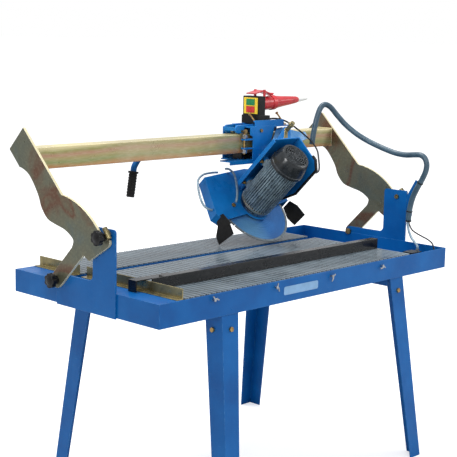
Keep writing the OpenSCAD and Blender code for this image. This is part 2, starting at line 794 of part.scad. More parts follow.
module cradle_trim() {
    hang = 128 - axis_v;
    t = 11;
    color("black") place() head_frame() {
        along_x(1182, t) polygon([[-60, hang + 40], [-60, hang + 33], [-155, hang - 8],
            [-309, hang - 8], [-337, hang + 28], [-337, hang + 50], [-330.2, hang + 50],
            [-330.2, hang + 30.1], [-307, hang - 0.1], [-155, hang - 0.1]]);
        // grommet of the motor's cable
        rod_x(1190.1, -268.7, hang + 13.4, 7, 14.6);
    }
}
function finned() = [for (k = [0:fin_n - 1]) let (a = k * 360 / fin_n)
    each [polar(63, a - 3.2), polar(motor_r, a - 1.4), polar(motor_r, a + 1.4), polar(63, a + 3.2)]];
module motor_body() {
    color("slategray") place() head_frame() translate([head_x, bell_u, 0]) rotate([90, 0, 0])
        difference() {
            union() {
                linear_extrude(-seam_u + bell_u) polygon(finned());
                for (s = [-1, 1], z = [32, 162]) translate([s * 33 - 9, 40, z - 8])
                    cube([18, motor_r - 39.5, 30]);
            }
            translate([0, 0, -1]) cylinder(r = 52, h = -seam_u + bell_u + 2);
        }
}
module end_bell() {
    color("gray") place() head_frame() translate([head_x, 0, 0]) rotate([90, 0, 0])
        rotate_extrude() polygon([[shaft_r + 0.05, 16], [46, 16], [52, 20], [52, 26], [64, 30],
            [70, 36], [70, 45], [shaft_r + 4, 45], [shaft_r + 4, 40], [shaft_r + 0.05, 40]]);
}
module fan_cover() {
    seam = -seam_u;
    back = -cover_u;
    wall = 2.5;
    lip = 76;
    mid = 73;
    end = 63;
    color("dimgray") place() head_frame() translate([head_x, 0, 0]) rotate([90, 0, 0])
        difference() {
            rotate_extrude() polygon([[72.5, seam + 0.1], [lip, seam + 0.1], [lip, seam + 12],
                [mid, seam + 14], [mid - 1, seam + 30], [end, back - 8], [end - 4, back - 2],
                [end - 9, back], [0, back], [0, back - wall], [end - 9, back - wall],
                [end - 6, back - 5], [mid - 4, seam + 30], [mid - wall, seam + 14],
                [72.5, seam + 12]]);
            for (ring = [0:4]) linear_extrude(back + 1) difference() {
                circle(r = 17 + ring * 8);
                circle(r = 12.5 + ring * 8);
                for (a = [0:60:120]) rotate(a + ring * 12) square([160, 4], center = true);
            }
        }
}

// sheet-metal guard over the blade, open below
guard_y0 = -14;
guard_y1 = 32;
guard_t = 2;
guard_top = [[923, 354], [1042, 366], [1176, 378], [1264, 364], [1306, 300], [1312, 214]];
function guard_outline() = concat([[864, 170], [893, 136], [1032, 151]],
    arc([head_x, axis_v], 72, 215, 325, 12), [[1230, 176], [1312, 190]],
    [for (k = [len(guard_top) - 1:-1:0]) guard_top[k]]);
// an outline that runs anticlockwise, moved in by d
function normal(a, b) = let (d = unit(b - a)) [-d[1], d[0]];
function inset(p, d) = [for (i = [0:len(p) - 1])
    let (m = len(p), n = normal(p[(i + m - 1) % m], p[i]), k = normal(p[i], p[(i + 1) % m]),
        w = unit(n + k)) p[i] + w * d / (w * n)];
module guard() {
    outline = guard_outline();
    inner_w = guard_y1 - guard_y0 - 2 * guard_t;
    color("royalblue") place() bridge() {
        difference() {
            along_y(guard_y0, guard_y1 - guard_y0) polygon(outline);
            along_y(guard_y0 + guard_t, inner_w) polygon(inset(outline, guard_t));
            // open below, for the blade
            along_y(guard_y0 + guard_t, inner_w)
                polygon([[896, 90], [1309, 90], [1309, 215], [896, 215]]);
            rod_y(head_x, guard_y0 - 1, axis_v, 62, guard_t + 2);
        }
        // strap from the guard back to the motor's plate
        translate([1080, guard_y0 - 76, 270.9]) cube([36, 76, 5]);
    }
}

module head_bolts() {
    color("peru") place() bridge() {
        // screws in the motor's feet
        for (u = [-210, -76]) {
            hex_x(1045, u, 264, 13, 6.4);
            rod_x(1037, u, 264, 5, 8);
        }
        rod_y(984, guard_y0 - 5, 200, 9, 5);
        hex_y(984, guard_y0 - 9, 200, 12, 4);
    }
}
module flaps() {
    t = 4;
    color("black") place() bridge() {
        difference() {
            along_x(878, t) polygon([[26, 136], [15, 168], [-31, 156], [-38, 118], [-22, 61],
                [72, 78], [62, 113]]);
            along_y(guard_y0 - 0.2, guard_y1 - guard_y0 + 0.4) offset(delta = 0.2)
                polygon(guard_outline());
        }
        along_x(1313, t) polygon([[30, 185], [-18, 184], [-38, 144], [-44, 88], [31, 91],
            [43, 137]]);
    }
}
guard_hose_a = [[1057, -22, 381], [1070, -26, 376], [1078, -28, 362], [1079, -28, 340],
    [1070, -26, 312], [1054, -24, 280], [1036, -22, 250], [1014, -20, 222], [1004, -19.5, 214]];
guard_hose_b = [[1040, 8, 388], [1010, 12, 392], [960, 14, 388], [912, 12, 362],
    [882, 8, 322], [862, 6, 284], [849, 4, 250], [846, 2, 226], [851, 0, 211], [861.5, 0, 203.9],
    [873.4, 0, 200.1]];
module guard_hose() {
    color("lightsteelblue") place() bridge() {
        swept(guard_hose_a, 9, 2, 8, [0, 1, 0]);
        swept(guard_hose_b, 9, 2, 8, [0, 1, 0]);
    }
}

// ---------- rotor ----------

module blade() {
    slots = 21;
    color("deepskyblue") place() head_frame() translate([head_x, blade_t / 2, 0])
        rotate([90, 0, 0]) linear_extrude(blade_t) difference() {
            circle(r = blade_r, $fn = 120);
            circle(r = bore_r);
            for (k = [0:slots - 1]) rotate(k * 360 / slots) translate([blade_r - 12, -1])
                square([14, 2]);
        }
}
module arbor() {
    fl_r = 42;
    color("silver") place() head_frame() translate([head_x, 0, 0]) rotate([90, 0, 0]) {
        translate([0, 0, blade_t / 2]) cylinder(r = fl_r, h = 8);
        translate([0, 0, -blade_t / 2 - 8]) cylinder(r = fl_r, h = 8);
        translate([0, 0, -blade_t / 2 - 18]) cylinder(r = 18, h = 10, $fn = 6);
        translate([0, 0, -24]) cylinder(r = shaft_r, h = 300 + 24);
    }
}
module fan() {
    hub = 26;
    color("black") place() head_frame() translate([head_x, 0, 0]) rotate([90, 0, 0])
        translate([0, 0, 272]) {
            difference() {
                union() {
                    cylinder(r = hub, h = 30);
                    cylinder(r = 60, h = 3);
                    for (k = [0:7]) rotate(k * 45) translate([hub - 2, -1.5, 0]) cube([34, 3, 26]);
                }
                translate([0, 0, -1]) cylinder(r = shaft_r + 0.02, h = 33);
            }
        }
}

tray();
deck();
mats();
end_rails();
bracket_left();
bracket_right();
frame_bolts();
tilt_stops();
legs_front();
legs_back();
leg_braces();
front_hooks();
pump_body();
pump_outlet();
hose_mast();
hose_ties();
conduit_lower();
water_hose();
pump_cable();
arm_left();
arm_right();
beam();
pivot_knob_left();
pivot_knob_right();
clamp_knob_left();
clamp_knob_right();
fence_bar();
carriage_front();
carriage_back();
carriage_wing();
carriage_bolts();
slide_pads();
plunge_pin();
roller_front_left();
roller_front_right();
roller_top_left();
roller_top_right();
switch_box();
switch_plate();
start_button();
stop_button();
coupler();
coupler_lid();
gland_tips();
handle_tube();
grip();
conduit_upper();
motor_cable();
cradle();
cradle_trim();
motor_body();
end_bell();
fan_cover();
guard();
head_bolts();
flaps();
guard_hose();
blade();
arbor();
fan();
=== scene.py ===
"""Looks of the bridge tile saw: camera, cords, materials, small visual pieces, light and floor."""
import math

import bpy
import bmesh
from mathutils import Matrix, Vector


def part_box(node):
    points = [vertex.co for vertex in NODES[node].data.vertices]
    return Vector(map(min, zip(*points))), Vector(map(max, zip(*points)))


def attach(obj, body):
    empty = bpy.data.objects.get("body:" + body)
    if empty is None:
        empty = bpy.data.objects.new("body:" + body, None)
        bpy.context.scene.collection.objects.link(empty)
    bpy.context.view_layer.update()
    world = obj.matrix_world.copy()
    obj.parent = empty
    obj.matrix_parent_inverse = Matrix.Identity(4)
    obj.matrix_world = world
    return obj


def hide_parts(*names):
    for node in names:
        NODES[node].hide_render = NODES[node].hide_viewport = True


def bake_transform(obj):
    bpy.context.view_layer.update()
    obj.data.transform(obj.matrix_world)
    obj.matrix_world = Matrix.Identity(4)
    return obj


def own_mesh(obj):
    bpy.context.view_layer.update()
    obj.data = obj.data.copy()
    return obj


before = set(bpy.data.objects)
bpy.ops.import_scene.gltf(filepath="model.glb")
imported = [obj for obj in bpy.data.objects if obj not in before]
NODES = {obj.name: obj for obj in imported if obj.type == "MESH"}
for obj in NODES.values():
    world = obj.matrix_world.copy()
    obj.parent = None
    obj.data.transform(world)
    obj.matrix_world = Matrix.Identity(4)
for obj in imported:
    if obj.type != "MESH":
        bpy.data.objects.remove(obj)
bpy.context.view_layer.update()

# corner of the tray (left end, front face, rim) and millimetres from it
TRAY_LO, TRAY_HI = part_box("tray")
CORNER = Vector((TRAY_LO[0], TRAY_LO[1], TRAY_HI[2]))
MM = 0.001
C45 = math.sqrt(0.5)


def table_point(p):
    """A point given in millimetres from the tray's corner, in the shared frame."""
    return CORNER + Vector(p) * MM


def bridge_point(p):
    """A point given along the leaning bridge (X, u back, v up) in millimetres, in the shared frame."""
    x, u, v = p
    return table_point((x, 500 + (u + v) * C45, 4 + (v - u) * C45))


# ---------- camera ----------

CAMERA_YAW, CAMERA_PITCH, CAMERA_ROLL = 44.03, 9.26, 1.12    # degrees
CAMERA_FROM_CORNER = (-2.446, -2.659, 0.835)
LENS, SENSOR = 93.0, 36.0                                    # millimetres


def make_camera():
    yaw, pitch, roll = (math.radians(a) for a in (CAMERA_YAW, CAMERA_PITCH, CAMERA_ROLL))
    fwd = Vector((math.cos(yaw) * math.cos(pitch), math.sin(yaw) * math.cos(pitch), -math.sin(pitch)))
    right = Vector((math.sin(yaw), -math.cos(yaw), 0))
    up = Vector((math.cos(yaw) * math.sin(pitch), math.sin(yaw) * math.sin(pitch), math.cos(pitch)))
    r2 = right * math.cos(roll) + up * math.sin(roll)
    u2 = up * math.cos(roll) - right * math.sin(roll)
    data = bpy.data.cameras.new("camera")
    data.lens = LENS
    data.sensor_width = SENSOR
    data.clip_end = 600.0
    cam = bpy.data.objects.new("camera", data)
    rot = Matrix((r2, u2, -fwd)).transposed().to_4x4()
    cam.matrix_world = Matrix.Translation(CORNER + Vector(CAMERA_FROM_CORNER)) @ rot
    bpy.context.scene.collection.objects.link(cam)
    bpy.context.scene.camera = cam


make_camera()


# ---------- cords ----------

TUBE_SIDES, TUBE_STEP = 20, 0.003
CURVE_STEPS = 16


def smooth_path(points, step):
    """A Catmull-Rom curve through the points, resampled at an even step."""
    pts = [Vector(p) for p in points]
    fine = []
    for i in range(len(pts) - 1):
        a, b = pts[max(i - 1, 0)], pts[i]
        c, d = pts[i + 1], pts[min(i + 2, len(pts) - 1)]
        for k in range(CURVE_STEPS):
            t = k / CURVE_STEPS
            fine.append(0.5 * (2 * b + t * (c - a) + t * t * (2 * a - 5 * b + 4 * c - d)
                               + t ** 3 * (3 * b - 3 * c + d - a)))
    fine.append(pts[-1])
    total = sum((q - p).length for p, q in zip(fine, fine[1:]))
    n = max(4, round(total / step))
    out, want, run = [fine[0]], total / n, 0.0
    for p, q in zip(fine, fine[1:]):
        length = (q - p).length
        while length > 0 and run + length >= want - 1e-9 and len(out) < n:
            p = p.lerp(q, (want - run) / length)
            out.append(p)
            length = (q - p).length
            run = 0.0
        run += length
    out.append(fine[-1])
    return out


def tube(name, points, diameter):
    """A round tube along the points, with the length run so far stored on its vertices."""
    path = smooth_path(points, TUBE_STEP)
    mesh = bpy.data.meshes.new(name)
    bm = bmesh.new()
    along = bm.verts.layers.float.new("along")
    side = (path[1] - path[0]).normalized().orthogonal().normalized()
    r = diameter / 2
    rings, run = [], 0.0
    for i, p in enumerate(path):
        if i:
            run += (p - path[i - 1]).length
        t = (path[min(i + 1, len(path) - 1)] - path[max(i - 1, 0)]).normalized()
        side = (side - t * side.dot(t)).normalized()
        other = t.cross(side)
        ring = []
        for k in range(TUBE_SIDES):
            a = 2 * math.pi * k / TUBE_SIDES
            v = bm.verts.new(p + r * (side * math.cos(a) + other * math.sin(a)))
            v[along] = run
            ring.append(v)
        rings.append(ring)
    for a, b in zip(rings, rings[1:]):
        for k in range(TUBE_SIDES):
            q = (k + 1) % TUBE_SIDES
            bm.faces.new((a[k], a[q], b[q], b[k])).smooth = True
    bm.faces.new(list(reversed(rings[0])))
    bm.faces.new(rings[-1])
    bm.to_mesh(mesh)
    bm.free()
    obj = bpy.data.objects.new(name, mesh)
    bpy.context.scene.collection.objects.link(obj)
    return obj, path


CONDUIT_D, HOSE_D, CABLE_D, MOTOR_CABLE_D, GUARD_HOSE_D = 0.023, 0.010, 0.006, 0.007, 0.009
CONDUIT_TOP = [(1380, 558, 390), (1382, 556, 420), (1386, 554, 450), (1394, 551, 490),
               (1404, 549, 520), (1416, 547, 543), (1432, 543, 556), (1450, 535, 553),
               (1464, 523, 538), (1480, 508, 512), (1500, 478, 474), (1519, 440, 441),
               (1531.755, 408.797, 420.899), (1533.878, 401.898, 417.449), (1536, 395, 414)]
CONDUIT_BOT = [(1536.08, 394.741, 413.871), (1538.202, 387.843, 410.421),
               (1540.325, 380.944, 406.972), (1548, 348, 394), (1556, 300, 378),
               (1562, 250, 366), (1566, 205, 363), (1568, 165, 367), (1569, 135, 368),
               (1569, 113, 356), (1569, 103, 332), (1569, 107, 302), (1569, 124, 266),
               (1569, 147, 226), (1569, 164, 190), (1569, 175, 150), (1569, 180, 115),
               (1569, 181, 92)]
HOSE = [(1564.4, 181, 85.8), (1564.4, 181, 81), (1564.4, 181, 76.2), (1560, 169, 46),
        (1551, 150, 25), (1541, 128, 12), (1534.5, 111, 3), (1532, 104, -5.6), (1532, 104, -9.8),
        (1532, 104, -14)]
CABLE = [(1574.2, 181, 85.8), (1574.2, 181, 82), (1574.2, 181, 78.2), (1575, 166, 54),
         (1573, 140, 42), (1568, 110, 34), (1561, 76, 26), (1556, 50, 14), (1552.6, 38, -6),
         (1552, 36, -18), (1552, 36, -22), (1552, 36, -26)]
MOTOR_CABLE = [(1181.3, 640, 497), (1185.3, 640, 497), (1189.3, 640, 497),
               (1208, 631, 500.5), (1236, 618, 498),
               (1266, 608, 488), (1292, 600, 474), (1318, 589, 455), (1340, 574.8, 435.2),
               (1356, 557.3, 414.8), (1366, 541, 395), (1368, 524, 376), (1360, 508, 360),
               (1342, 488, 338), (1316, 462, 314), (1284, 436, 298), (1250, 418, 292),
               (1222, 411, 293), (1205, 410, 294)]
GUARD_HOSE_A = [(1057, -22, 381), (1070, -26, 376), (1078, -28, 362), (1079, -28, 340),
                (1070, -26, 312), (1054, -24, 280), (1036, -22, 250), (1014, -20, 222),
                (1004, -19.5, 214)]
GUARD_HOSE_B = [(1040, 8, 388), (1010, 12, 392), (960, 14, 388), (912, 12, 362), (882, 8, 322),
                (862, 6, 284), (849, 4, 250), (846, 2, 226), (851, 0, 211), (861.5, 0, 203.9),
                (873.4, 0, 200.1)]


CORDS = {}
for name, route, place, d, stiffness in (
        ("conduit_top_tube", CONDUIT_TOP, table_point, CONDUIT_D, "stiff"),
        ("conduit_low_tube", CONDUIT_BOT, table_point, CONDUIT_D, "stiff"),
        ("pump_hose_tube", HOSE, table_point, HOSE_D, "medium"),
        ("pump_cable_tube", CABLE, table_point, CABLE_D, "medium"),
        ("motor_cable_tube", MOTOR_CABLE, table_point, MOTOR_CABLE_D, "stiff"),
        ("guard_hose_front_tube", GUARD_HOSE_A, bridge_point, GUARD_HOSE_D, "medium"),
        ("guard_hose_back_tube", GUARD_HOSE_B, bridge_point, GUARD_HOSE_D, "medium")):
    obj, path = tube(name, [place(p) for p in route], d)
    CORDS[name] = obj

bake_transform(CORDS["conduit_top_tube"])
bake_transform(CORDS["conduit_low_tube"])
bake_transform(CORDS["motor_cable_tube"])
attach(CORDS["pump_hose_tube"], "table")
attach(CORDS["pump_cable_tube"], "table")
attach(CORDS["guard_hose_front_tube"], "head")
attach(CORDS["guard_hose_back_tube"], "head")
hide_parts("conduit_upper")
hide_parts("conduit_lower")
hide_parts("water_hose")
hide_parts("pump_cable")
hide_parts("motor_cable")
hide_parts("guard_hose")
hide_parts("guard_hose")


# ---------- materials ----------

def srgb(r, g, b):
    def one(c):
        c /= 255
        return c / 12.92 if c <= 0.04045 else ((c + 0.055) / 1.055) ** 2.4
    return (one(r), one(g), one(b), 1.0)


EDGE_SAMPLES = 3


class Material:
    """A small wrapper that builds a Principled material from nodes."""

    def __init__(self, name, **sockets):
        self.mat = bpy.data.materials.new(name)
        self.mat.use_nodes = True
        self.tree = self.mat.node_tree
        self.tree.nodes.clear()
        self.out = self.node("ShaderNodeOutputMaterial")
        self.bsdf = self.node("ShaderNodeBsdfPrincipled")
        self.link(self.bsdf.outputs[0], self.out.inputs[0])
        for key, value in sockets.items():
            self.bsdf.inputs[key.replace("_", " ")].default_value = value
        self.coords = self.node("ShaderNodeTexCoord").outputs["Object"]

    def node(self, kind, **attributes):
        n = self.tree.nodes.new(kind)
        for key, value in attributes.items():
            setattr(n, key, value)
        return n

    def link(self, a, b):
        self.tree.links.new(a, b)

    def mapped(self, scale=(1, 1, 1), location=(0, 0, 0)):
        m = self.node("ShaderNodeMapping")
        m.inputs["Scale"].default_value = scale
        m.inputs["Location"].default_value = location
        self.link(self.coords, m.inputs["Vector"])
        return m.outputs[0]

    def noise(self, scale, detail=4.0, roughness=0.55, vector=None, distortion=0.0):
        n = self.node("ShaderNodeTexNoise")
        n.inputs["Scale"].default_value = scale
        n.inputs["Detail"].default_value = detail
        n.inputs["Roughness"].default_value = roughness
        n.inputs["Distortion"].default_value = distortion
        self.link(vector or self.coords, n.inputs["Vector"])
        return n.outputs["Fac"]

    def ramp(self, fac, stops):
        r = self.node("ShaderNodeValToRGB")
        e = r.color_ramp.elements
        while len(e) < len(stops):
            e.new(0.5)
        for item, (pos, colour) in zip(e, stops):
            item.position = pos
            item.color = colour if len(colour) == 4 else (*colour, 1)
        self.link(fac, r.inputs["Fac"])
        return r.outputs["Color"]

    def grey(self, fac, stops):
        return self.ramp(fac, [(p, (v, v, v, 1)) for p, v in stops])

    def mix(self, fac, a, b):
        m = self.node("ShaderNodeMix", data_type="RGBA")
        for value, key in ((fac, 0), (a, 6), (b, 7)):
            if isinstance(value, (int, float, tuple)):
                m.inputs[key].default_value = value
            else:
                self.link(value, m.inputs[key])
        return m.outputs[2]

    def math(self, op, a, b=0.0, clamp=False):
        m = self.node("ShaderNodeMath", operation=op, use_clamp=clamp)
        for value, key in ((a, 0), (b, 1)):
            if isinstance(value, (int, float)):
                m.inputs[key].default_value = value
            else:
                self.link(value, m.inputs[key])
        return m.outputs[0]

    def bump(self, height, strength, distance, normal=None):
        b = self.node("ShaderNodeBump")
        b.inputs["Strength"].default_value = strength
        b.inputs["Distance"].default_value = distance
        self.link(height, b.inputs["Height"])
        if normal:
            self.link(normal, b.inputs["Normal"])
        return b.outputs[0]

    def edges(self, radius):
        """A mask that is 1 along sharp edges, from the difference of rounded and true normals."""
        r = self.node("ShaderNodeBevel", samples=EDGE_SAMPLES)
        r.inputs["Radius"].default_value = radius
        g = self.node("ShaderNodeNewGeometry")
        d = self.node("ShaderNodeVectorMath", operation="DOT_PRODUCT")
        self.link(r.outputs[0], d.inputs[0])
        self.link(g.outputs["Normal"], d.inputs[1])
        return self.grey(d.outputs["Value"], [(0.86, 1.0), (0.985, 0.0)])

    def facing(self, axis):
        """A mask that is 1 on faces square to the axis, in the piece's own directions."""
        sep = self.node("ShaderNodeSeparateXYZ")
        self.link(self.node("ShaderNodeTexCoord").outputs["Normal"], sep.inputs[0])
        return self.grey(self.math("ABSOLUTE", sep.outputs[axis]), [(0.6, 0.0), (0.75, 1.0)])

    def set(self, **links):
        for key, value in links.items():
            target = self.bsdf.inputs[key.replace("_", " ")]
            if isinstance(value, (int, float, tuple)):
                target.default_value = value
            else:
                self.link(value, target)
        return self.mat


def blue_paint(name, base=(3, 88, 156), deep=(2, 76, 142), bright=(10, 98, 168), rough=0.34):
    """Gloss powder coat with orange peel, cloudy wear, water marks and rubbed edges."""
    m = Material(name, Metallic=0.0, Specular_IOR_Level=0.2, Coat_Weight=0.06, Coat_Roughness=0.1)
    cloud = m.noise(5.5, 5, 0.6)
    colour = m.ramp(cloud, [(0.3, srgb(*deep)), (0.5, srgb(*base)), (0.74, srgb(*bright))])
    streak = m.noise(9, 4, 0.6, m.mapped((1.0, 1.0, 0.12)))
    colour = m.mix(m.grey(streak, [(0.55, 0.0), (0.85, 0.16)]), colour, srgb(60, 128, 184))
    wear = m.math("MULTIPLY", m.edges(0.0022), m.grey(m.noise(60, 3), [(0.42, 0.0), (0.62, 0.75)]))
    colour = m.mix(wear, colour, srgb(96, 156, 204))
    scuff = m.grey(m.noise(240, 2, 0.5, m.mapped((1, 0.15, 1))), [(0.68, 0.0), (0.76, 0.14)])
    colour = m.mix(scuff, colour, srgb(90, 146, 196))
    roughness = m.grey(m.noise(14, 5, 0.65), [(0.3, rough - 0.08), (0.7, rough + 0.16)])
    peel = m.bump(m.noise(420, 2, 0.5), 0.12, 0.0004)
    normal = m.bump(m.noise(26, 3, 0.5), 0.10, 0.0012, peel)
    return m.set(Base_Color=colour, Roughness=roughness, Normal=normal)


def zinc(name, stops, scale, metallic, rough=0.34, edge_highlight=(240, 232, 205), narrow_face_highlight=None):
    """Yellow-passivated steel, with rainbow blotches and edges painted bright as a highlight; the optional
    narrow-face colour is a painted highlight on its narrow faces.
    """
    m = Material(name, Metallic=metallic)
    wide = m.noise(scale, 3, 0.55, m.mapped(), 0.6)
    colour = m.ramp(wide, [(p, srgb(*c)) for p, c in stops])
    grain = m.noise(130, 4, 0.6, m.mapped((0.3, 1, 1)))
    colour = m.mix(m.grey(grain, [(0.45, 0.0), (0.8, 0.22)]), colour, srgb(176, 172, 140))
    spots = m.grey(m.noise(34, 5, 0.7), [(0.62, 0.0), (0.74, 0.5)])
    colour = m.mix(spots, colour, srgb(112, 86, 58))
    # painted highlight: faces whose normals don't point along X, the narrow faces, get a pale cream
    if narrow_face_highlight:
        colour = m.mix(m.facing("X"), srgb(*narrow_face_highlight), colour)
    # painted highlight: sharp edges get a pale colour
    colour = m.mix(m.edges(0.0016), colour, srgb(*edge_highlight))
    roughness = m.grey(m.noise(17, 5, 0.6), [(0.3, rough - 0.1), (0.72, rough + 0.18)])
    normal = m.bump(m.noise(160, 3, 0.5), 0.16, 0.0004)
    return m.set(Base_Color=colour, Roughness=roughness, Normal=normal)


def plain_metal(name, colour, dark, rough, metallic=1.0, scale=60, brush=(1, 1, 1), edge_highlight=None):
    m = Material(name, Metallic=metallic)
    n = m.noise(scale, 4, 0.6, m.mapped(brush))
    c = m.ramp(n, [(0.3, srgb(*dark)), (0.7, srgb(*colour))])
    # painted highlight: sharp edges get a lighter colour when one is given
    if edge_highlight:
        c = m.mix(m.edges(0.001), c, srgb(*edge_highlight))
    r = m.grey(m.noise(scale * 0.5, 4, 0.6), [(0.3, rough - 0.07), (0.7, rough + 0.14)])
    return m.set(Base_Color=c, Roughness=r, Normal=m.bump(n, 0.1, 0.0001))


def moulded(name, colour, rough, scale=500, depth=0.0003, worn=None, coat=0.0, mottled=0.12):
    """Moulded plastic or rubber with a fine grain, light dust and paler edges."""
    m = Material(name, Metallic=0.0, Specular_IOR_Level=0.3, Coat_Weight=coat, Coat_Roughness=0.15)
    a = srgb(*colour)
    dark = tuple(c * (1 - 2 * mottled) for c in a[:3]) + (1,)
    light = tuple(min(1, c * (1 + mottled) + 0.004) for c in a[:3]) + (1,)
    c = m.ramp(m.noise(24, 4, 0.6), [(0.35, dark), (0.65, light)])
    if worn:
        c = m.mix(m.math("MULTIPLY", m.edges(0.0012), 0.7), c, srgb(*worn))
    r = m.grey(m.noise(45, 4, 0.6), [(0.3, rough - 0.08), (0.7, rough + 0.12)])
    return m.set(Base_Color=c, Roughness=r, Normal=m.bump(m.noise(scale, 2, 0.5), 0.22, depth))


def beam_zinc():
    """The beam: passivation bands that run along it, an orange lower edge, a cream top that is a painted
    highlight, and painted highlights on its edges.
    """
    m = Material("beam_passivated_zinc", Metallic=0.55)
    lo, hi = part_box("beam")
    sep = m.node("ShaderNodeSeparateXYZ")
    m.link(m.coords, sep.inputs[0])
    height = m.math("DIVIDE", m.math("SUBTRACT", sep.outputs["Z"], lo[2]), hi[2] - lo[2])
    wave = m.math("MULTIPLY", m.math("SUBTRACT", m.noise(5, 3, 0.5, m.mapped((0.5, 1, 1))), 0.5), 0.5)
    band = m.math("ADD", height, wave, clamp=True)
    # the cream top stop is a painted highlight where the top light falls
    colour = m.ramp(band, [(0.0, srgb(168, 104, 58)), (0.14, srgb(190, 140, 92)),
                           (0.32, srgb(150, 158, 104)), (0.5, srgb(178, 164, 112)),
                           (0.66, srgb(190, 146, 120)), (0.82, srgb(160, 156, 96)),
                           (0.97, srgb(226, 212, 160))])
    patch = m.noise(3.2, 4, 0.6, m.mapped((1, 1, 1), location=(3, 1, 2)))
    colour = m.mix(m.grey(patch, [(0.45, 0.0), (0.68, 0.55)]), colour, srgb(196, 182, 150))
    fine = m.noise(260, 3, 0.6, m.mapped((0.12, 1, 1)))
    colour = m.mix(m.grey(fine, [(0.45, 0.0), (0.8, 0.35)]), colour, srgb(230, 220, 190))
    # painted highlight along sharp edges
    colour = m.mix(m.edges(0.0018), colour, srgb(246, 238, 214))
    roughness = m.grey(m.noise(13, 4, 0.6), [(0.3, 0.24), (0.7, 0.46)])
    return m.set(Base_Color=colour, Roughness=roughness, Normal=m.bump(fine, 0.14, 0.0003))


RIB_PITCH, RIB_WIDTH = 0.01225, 0.007


def wet_mat():
    """Dark ribbed rubber, streaked and shiny where water has stood on it, with painted shade in the grooves
    and a painted highlight on every other rib.
    """
    m = Material("wet_ribbed_rubber", Metallic=0.0, Coat_Weight=0.5, Coat_Roughness=0.16)
    dry = m.noise(7, 5, 0.62)
    colour = m.ramp(dry, [(0.35, srgb(72, 86, 96)), (0.52, srgb(94, 109, 119)), (0.7, srgb(120, 135, 144))])
    fine = m.noise(90, 4, 0.6)
    colour = m.mix(m.grey(fine, [(0.5, 0.0), (0.8, 0.25)]), colour, srgb(160, 170, 178))
    # painted shade: the grooves between the ribs are darkened
    sep = m.node("ShaderNodeSeparateXYZ")
    m.link(m.coords, sep.inputs[0])
    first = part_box("mats")[0][0]
    pitch, rib = RIB_PITCH, RIB_WIDTH
    turn = m.math("FRACT", m.math("DIVIDE", m.math("SUBTRACT", sep.outputs["X"], first), pitch))
    groove_shade = m.grey(turn, [(0.0, 1.0), (1 - rib / pitch, 1.0), (1 - rib / pitch + 0.06, 0.0), (0.97, 0.0)])
    colour = m.mix(m.math("MULTIPLY", groove_shade, 0.8), colour, srgb(22, 28, 34))
    # every other groove gets deeper painted shade, and the rib beside it a painted highlight
    pair = m.math("FRACT", m.math("DIVIDE", m.math("SUBTRACT", sep.outputs["X"], first), 2 * pitch))
    colour = m.mix(m.grey(pair, [(0.0, 0.5), (0.3, 0.5), (0.36, 0.0), (0.97, 0.0)]), colour, srgb(14, 18, 22))
    colour = m.mix(m.grey(pair, [(0.66, 0.0), (0.72, 0.2), (0.94, 0.2), (0.98, 0.0)]), colour,
                   srgb(186, 200, 208))
    roughness = m.grey(dry, [(0.35, 0.18), (0.65, 0.42)])
    return m.set(Base_Color=colour, Roughness=roughness, Normal=m.bump(fine, 0.12, 0.0004))


BLADE_RADIUS = 0.175


def blade_paint():
    """Blue-lacquered steel core: turning marks round the axis and a painted highlight, a lighter sector that
    turns with it.
    """
    m = Material("blade_blue_lacquer", Metallic=0.55, Anisotropic=0.7)
    lo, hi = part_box("blade")
    centre = [(a + b) / 2 for a, b in zip(lo, hi)]
    shifted = m.mapped((1, 1, 1), location=tuple(-c for c in centre))
    turned = m.node("ShaderNodeMapping")
    turned.inputs["Rotation"].default_value = (math.radians(45), 0, 0)
    m.link(shifted, turned.inputs["Vector"])
    sep = m.node("ShaderNodeSeparateXYZ")
    m.link(turned.outputs[0], sep.inputs[0])
    x, z = sep.outputs["X"], sep.outputs["Z"]
    radius = m.math("SQRT", m.math("ADD", m.math("MULTIPLY", x, x), m.math("MULTIPLY", z, z)))
    angle = m.math("ARCTAN2", z, x)
    comb = m.node("ShaderNodeCombineXYZ")
    m.link(m.math("MULTIPLY", radius, 900.0), comb.inputs[0])
    rings = m.noise(1.0, 3, 0.6, comb.outputs[0])
    colour = m.ramp(m.noise(9, 4, 0.6), [(0.3, srgb(0, 92, 168)), (0.55, srgb(2, 108, 190)),
                                         (0.8, srgb(24, 132, 208))])
    # painted highlight: a lighter sector at a fixed angle in the blade's own coordinates
    highlight_lobes = m.math("MULTIPLY", m.math("COSINE", m.math("MULTIPLY", m.math("SUBTRACT", angle, 0.9), 2.0)), 0.5)
    painted_highlight = m.grey(m.math("ADD", highlight_lobes, 0.5), [(0.55, 0.0), (1.0, 0.55)])
    colour = m.mix(painted_highlight, colour, srgb(120, 186, 226))
    rim = m.grey(m.math("DIVIDE", radius, BLADE_RADIUS), [(0.935, 0.0), (0.95, 1.0)])
    colour = m.mix(rim, colour, srgb(120, 128, 132))
    colour = m.mix(m.grey(rings, [(0.4, 0.0), (0.7, 0.2)]), colour, srgb(200, 230, 245))
    tangent = m.node("ShaderNodeTangent", direction_type="RADIAL", axis="Y")
    roughness = m.grey(rings, [(0.3, 0.2), (0.7, 0.34)])
    return m.set(Base_Color=colour, Roughness=roughness, Normal=m.bump(rings, 0.12, 0.0002))


def clear_tube(name):
    m = Material(name, Metallic=0.0, Transmission_Weight=0.05, IOR=1.4, Coat_Weight=0.2)
    n = m.noise(70, 3, 0.5)
    c = m.ramp(n, [(0.3, srgb(112, 138, 154)), (0.7, srgb(150, 172, 186))])
    r = m.grey(n, [(0.3, 0.16), (0.7, 0.32)])
    return m.set(Base_Color=c, Roughness=r, Normal=m.bump(n, 0.1, 0.0003))


CONDUIT_RING = 0.0042


